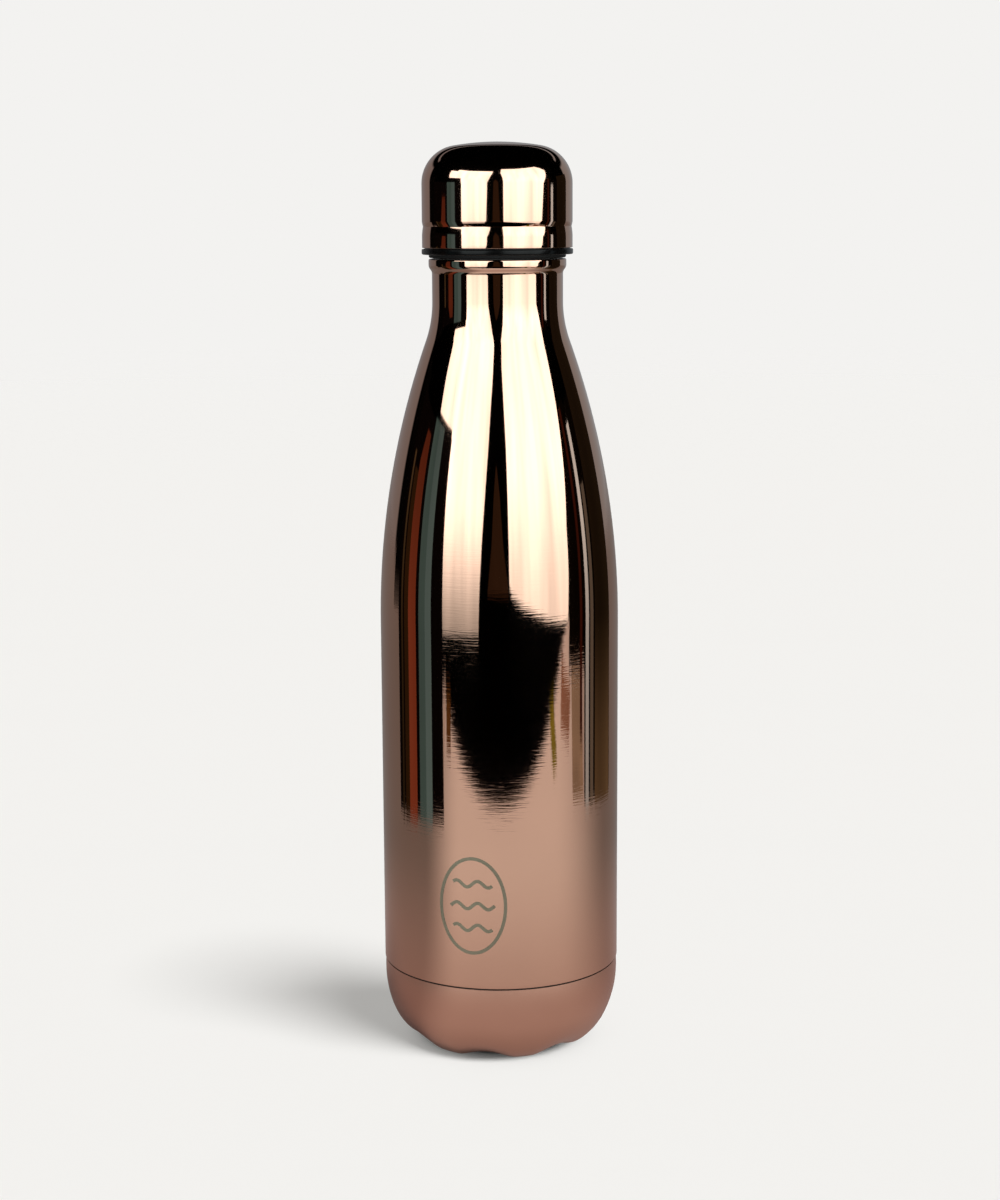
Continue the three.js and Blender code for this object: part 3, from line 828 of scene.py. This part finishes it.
def glow(name, colour, bottom, top, up_to):
    """Slightly uneven light. Its strength goes from bottom, at z = 0, to top, at up_to metres."""
    made, tree = material(name)
    place = add(tree, "ShaderNodeTexCoord").outputs["Object"]
    height = add(tree, "ShaderNodeSeparateXYZ", {0: place}).outputs[2]
    levels = {"Value": height, "From Max": up_to, "To Min": bottom, "To Max": top}
    graded = add(tree, "ShaderNodeMapRange", levels, interpolation_type="SMOOTHSTEP").outputs[0]
    patchy = spread(tree, noise(tree, (7, 7, 2), detail=2, seed=6), 0.8, 1.2)
    strength = compute(tree, "MULTIPLY", graded, patchy)
    light = add(tree, "ShaderNodeEmission", {"Color": (*colour, 1.0), "Strength": strength}).outputs[0]
    add(tree, "ShaderNodeOutputMaterial", {"Surface": light})
    return made


def board(name, distance, rows, colour, bottom=1.0, top=1.0, up_to=0.3):
    """A bent board round the bottle that only reflections see. rows are (height, from angle, to angle)."""
    steps = 12
    vertices = []
    for height, start, end in rows:
        for step in range(steps + 1):
            turn = math.radians(start + (end - start) * step / steps)
            vertices.append((distance * math.sin(turn), -distance * math.cos(turn), height))
    faces = []
    for row in range(len(rows) - 1):
        for step in range(steps):
            corner = row * (steps + 1) + step
            faces.append([corner, corner + 1, corner + steps + 2, corner + steps + 1])
    reflected_only(name, vertices, faces, glow(name, colour, bottom, top, up_to))


def upright(height, start, end):
    """The rows of a board that stands on the table and has straight sides."""
    return (0, start, end), (height, start, end)


def patch(name, corners, colour):
    """A sheet on the table, seen only in reflections."""
    above_table = 0.001
    vertices = [(x, y, above_table) for x, y in corners]
    reflected_only(name, vertices, [[0, 1, 2, 3]], glow(name, colour, 1.0, 1.0, 0.3))


def reflected_only(name, vertices, faces, finish):
    made = sheet(name, vertices, faces, finish)
    show_only_to(("glossy",), made)


WINDOW = 0.65  # how far the boards stand from the bottle's axis, in metres
LEFT = 0.29
RIGHT = 0.31
RIGHT_EDGE = 0.43
RIGHT_FAR = 0.61
BEHIND = 0.01  # how much further away a board is that stands behind another
DAYLIGHT = (0.9, 1.0, 1.0)
NEAR_BLACK = (0.003, 0.002, 0.001)


def build_windows():
    """Two tall bright windows, and a dark stand below the gap between them."""
    left = (
        (0.02, -54.5, -19.5), (0.1, -54.5, -18.5), (0.2, -55, -16.5), (0.3, -55.5, -14),
        (0.4, -56.5, -11.5), (0.5, -61, -9.5), (0.56, -68, -8), (0.67, -66, -6.5),
    )
    flap = ((0.4, -77, -54), (0.47, -79, -54), (0.62, -80, -58))
    right = (
        (0.038, 60, 67), (0.048, 45, 67.5), (0.08, 20, 68), (0.1, 12, 68.5), (0.12, 9.5, 69),
        (0.2, 9.3, 70), (0.3, 9, 75), (0.4, 8.5, 79), (0.5, 7, 82), (0.6, 5.5, 84), (0.78, 7, 70),
    )
    stand = ((0.1, -11, 9), (0.2, -7, 4), (0.3, -5, 1), (0.36, -3, -2))
    board("window_left", WINDOW, left, DAYLIGHT, 0.7, 3.3)
    board("window_left_flap", WINDOW + BEHIND, flap, DAYLIGHT, 2.6, 3.1)
    board("window_right", WINDOW, right, DAYLIGHT, 1.95, 3.1, 0.36)
    board("stand", WINDOW, stand, (0.034, 0.019, 0.01))


def build_shelves():
    """Doors and slats at both sides, with dark walls behind them."""
    teal_door = ((0, -79.5, -72), (0.27, -79, -71.5))
    teal_edge = ((0, -72, -65), (0.27, -71.5, -65))
    red_door = ((0, -93, -83), (0.22, -93, -83), (0.25, -89, -83))
    left_wall = ((0, -108, -53), (0.1, -108, -53.5), (0.27, -108, -54))
    left_wall_far = ((0.04, -120, -107), (0.38, -118, -107))
    right_wall = ((0, 85, 127), (0.28, 85, 126))
    right_wall_far = ((0, 68, 90), (0.2, 71, 90), (0.38, 79, 90))
    board("teal_door", LEFT, teal_door, (0.07, 0.15, 0.16))
    board("teal_door_edge", LEFT, teal_edge, (0.12, 0.24, 0.27), top=0.8, up_to=0.27)
    board("red_door", LEFT, red_door, (0.25, 0.066, 0.032), top=0.35)
    board("red_door_shade", LEFT, upright(0.21, -99, -93), (0.03, 0.017, 0.006))
    board("gold_edge", LEFT, upright(0.22, -103.5, -101), (0.09, 0.07, 0.035), bottom=0.3)
    board("red_edge", RIGHT_EDGE, upright(0.32, 80.5, 83.5), (0.05, 0.012, 0.006))
    board("pale_slat", RIGHT, upright(0.26, 86.7, 91), (0.75, 0.95, 1.05), 0.6, 1.2, 0.2)
    board("dim_slat", RIGHT, upright(0.2, 93, 97.5), (0.14, 0.14, 0.12))
    board("brown_door", RIGHT, upright(0.32, 100, 126), (0.017, 0.013, 0.007), bottom=7.0, up_to=0.09)
    board("left_wall", LEFT + BEHIND, left_wall, (0.003, 0.002, 0.002))
    board("left_wall_far", WINDOW, left_wall_far, (0.2, 0.19, 0.18), 0.8, 0.01, 0.1)
    board("right_wall", RIGHT + BEHIND, right_wall, NEAR_BLACK)
    board("right_wall_far", RIGHT_FAR, right_wall_far, NEAR_BLACK)


def build_papers():
    """Coloured sheets that lie on the table."""
    brown = ((0.4, -0.17), (0.52, -0.19), (0.56, -0.32), (0.4, -0.25))
    tan = ((0.31, -0.107), (0.565, -0.195), (0.597, -0.063), (0.328, -0.034))
    green = ((0.29, -0.24), (0.33, -0.235), (0.42, -0.34), (0.36, -0.34))
    gold = ((-0.33, -0.27), (-0.3, -0.285), (-0.39, -0.37), (-0.43, -0.35))
    pale = ((-0.29, -0.19), (-0.28, -0.205), (-0.45, -0.36), (-0.46, -0.345))
    patch("brown_paper", brown, (0.34, 0.2, 0.14))
    patch("tan_paper", tan, (0.36, 0.3, 0.22))
    patch("green_paper", green, (0.28, 0.27, 0.04))
    patch("gold_paper", gold, (0.15, 0.075, 0.02))
    patch("pale_edge", pale, (0.6, 0.58, 0.55))


def build_key_light():
    """One broad, soft light from the right and front, which lays the shadow to the left and behind."""
    light = bpy.data.lights.new("key", "SUN")
    light.angle = KEY_SPREAD
    light.energy = math.pi * (PALE[0] / FLOOR_ALBEDO - SOFT_LIGHT) / math.sin(KEY_HEIGHT)
    key = bpy.data.objects.new("key", light)
    bpy.context.collection.objects.link(key)
    along = math.cos(KEY_HEIGHT)
    towards = Vector((math.sin(KEY_TURN) * along, -math.cos(KEY_TURN) * along, math.sin(KEY_HEIGHT)))
    key.rotation_euler = towards.to_track_quat("Z", "Y").to_euler()
    key.visible_glossy = False


# ---- the camera -----------------------------------------------------------------------------------
CAMERA_DISTANCE = 0.657  # in metres, in front of the axis
CAMERA_HEIGHT = 0.2473
CAMERA_TILT = math.radians(9.87)
CAMERA_ROLL = math.radians(-0.3)
CAMERA_TURN = math.radians(-0.02)
LENS = 67.86
SENSOR = 36


def build_camera():
    data = bpy.data.cameras.new("camera")
    data.lens = LENS
    data.sensor_width = SENSOR
    data.clip_start = 0.01
    camera = bpy.data.objects.new("camera", data)
    bpy.context.collection.objects.link(camera)
    aim = Matrix.Rotation(CAMERA_TURN, 4, "Z") @ Matrix.Rotation(math.pi / 2 - CAMERA_TILT, 4, "X")
    place = Matrix.Translation((0, -CAMERA_DISTANCE, CAMERA_HEIGHT))
    camera.matrix_world = place @ aim @ Matrix.Rotation(CAMERA_ROLL, 4, "Z")
    bpy.context.scene.camera = camera


build_bottle()
build_shadow()
build_floor()
build_world()
build_windows()
build_shelves()
build_papers()
build_key_light()
build_camera()
bpy.context.scene.view_settings.view_transform = "Standard"
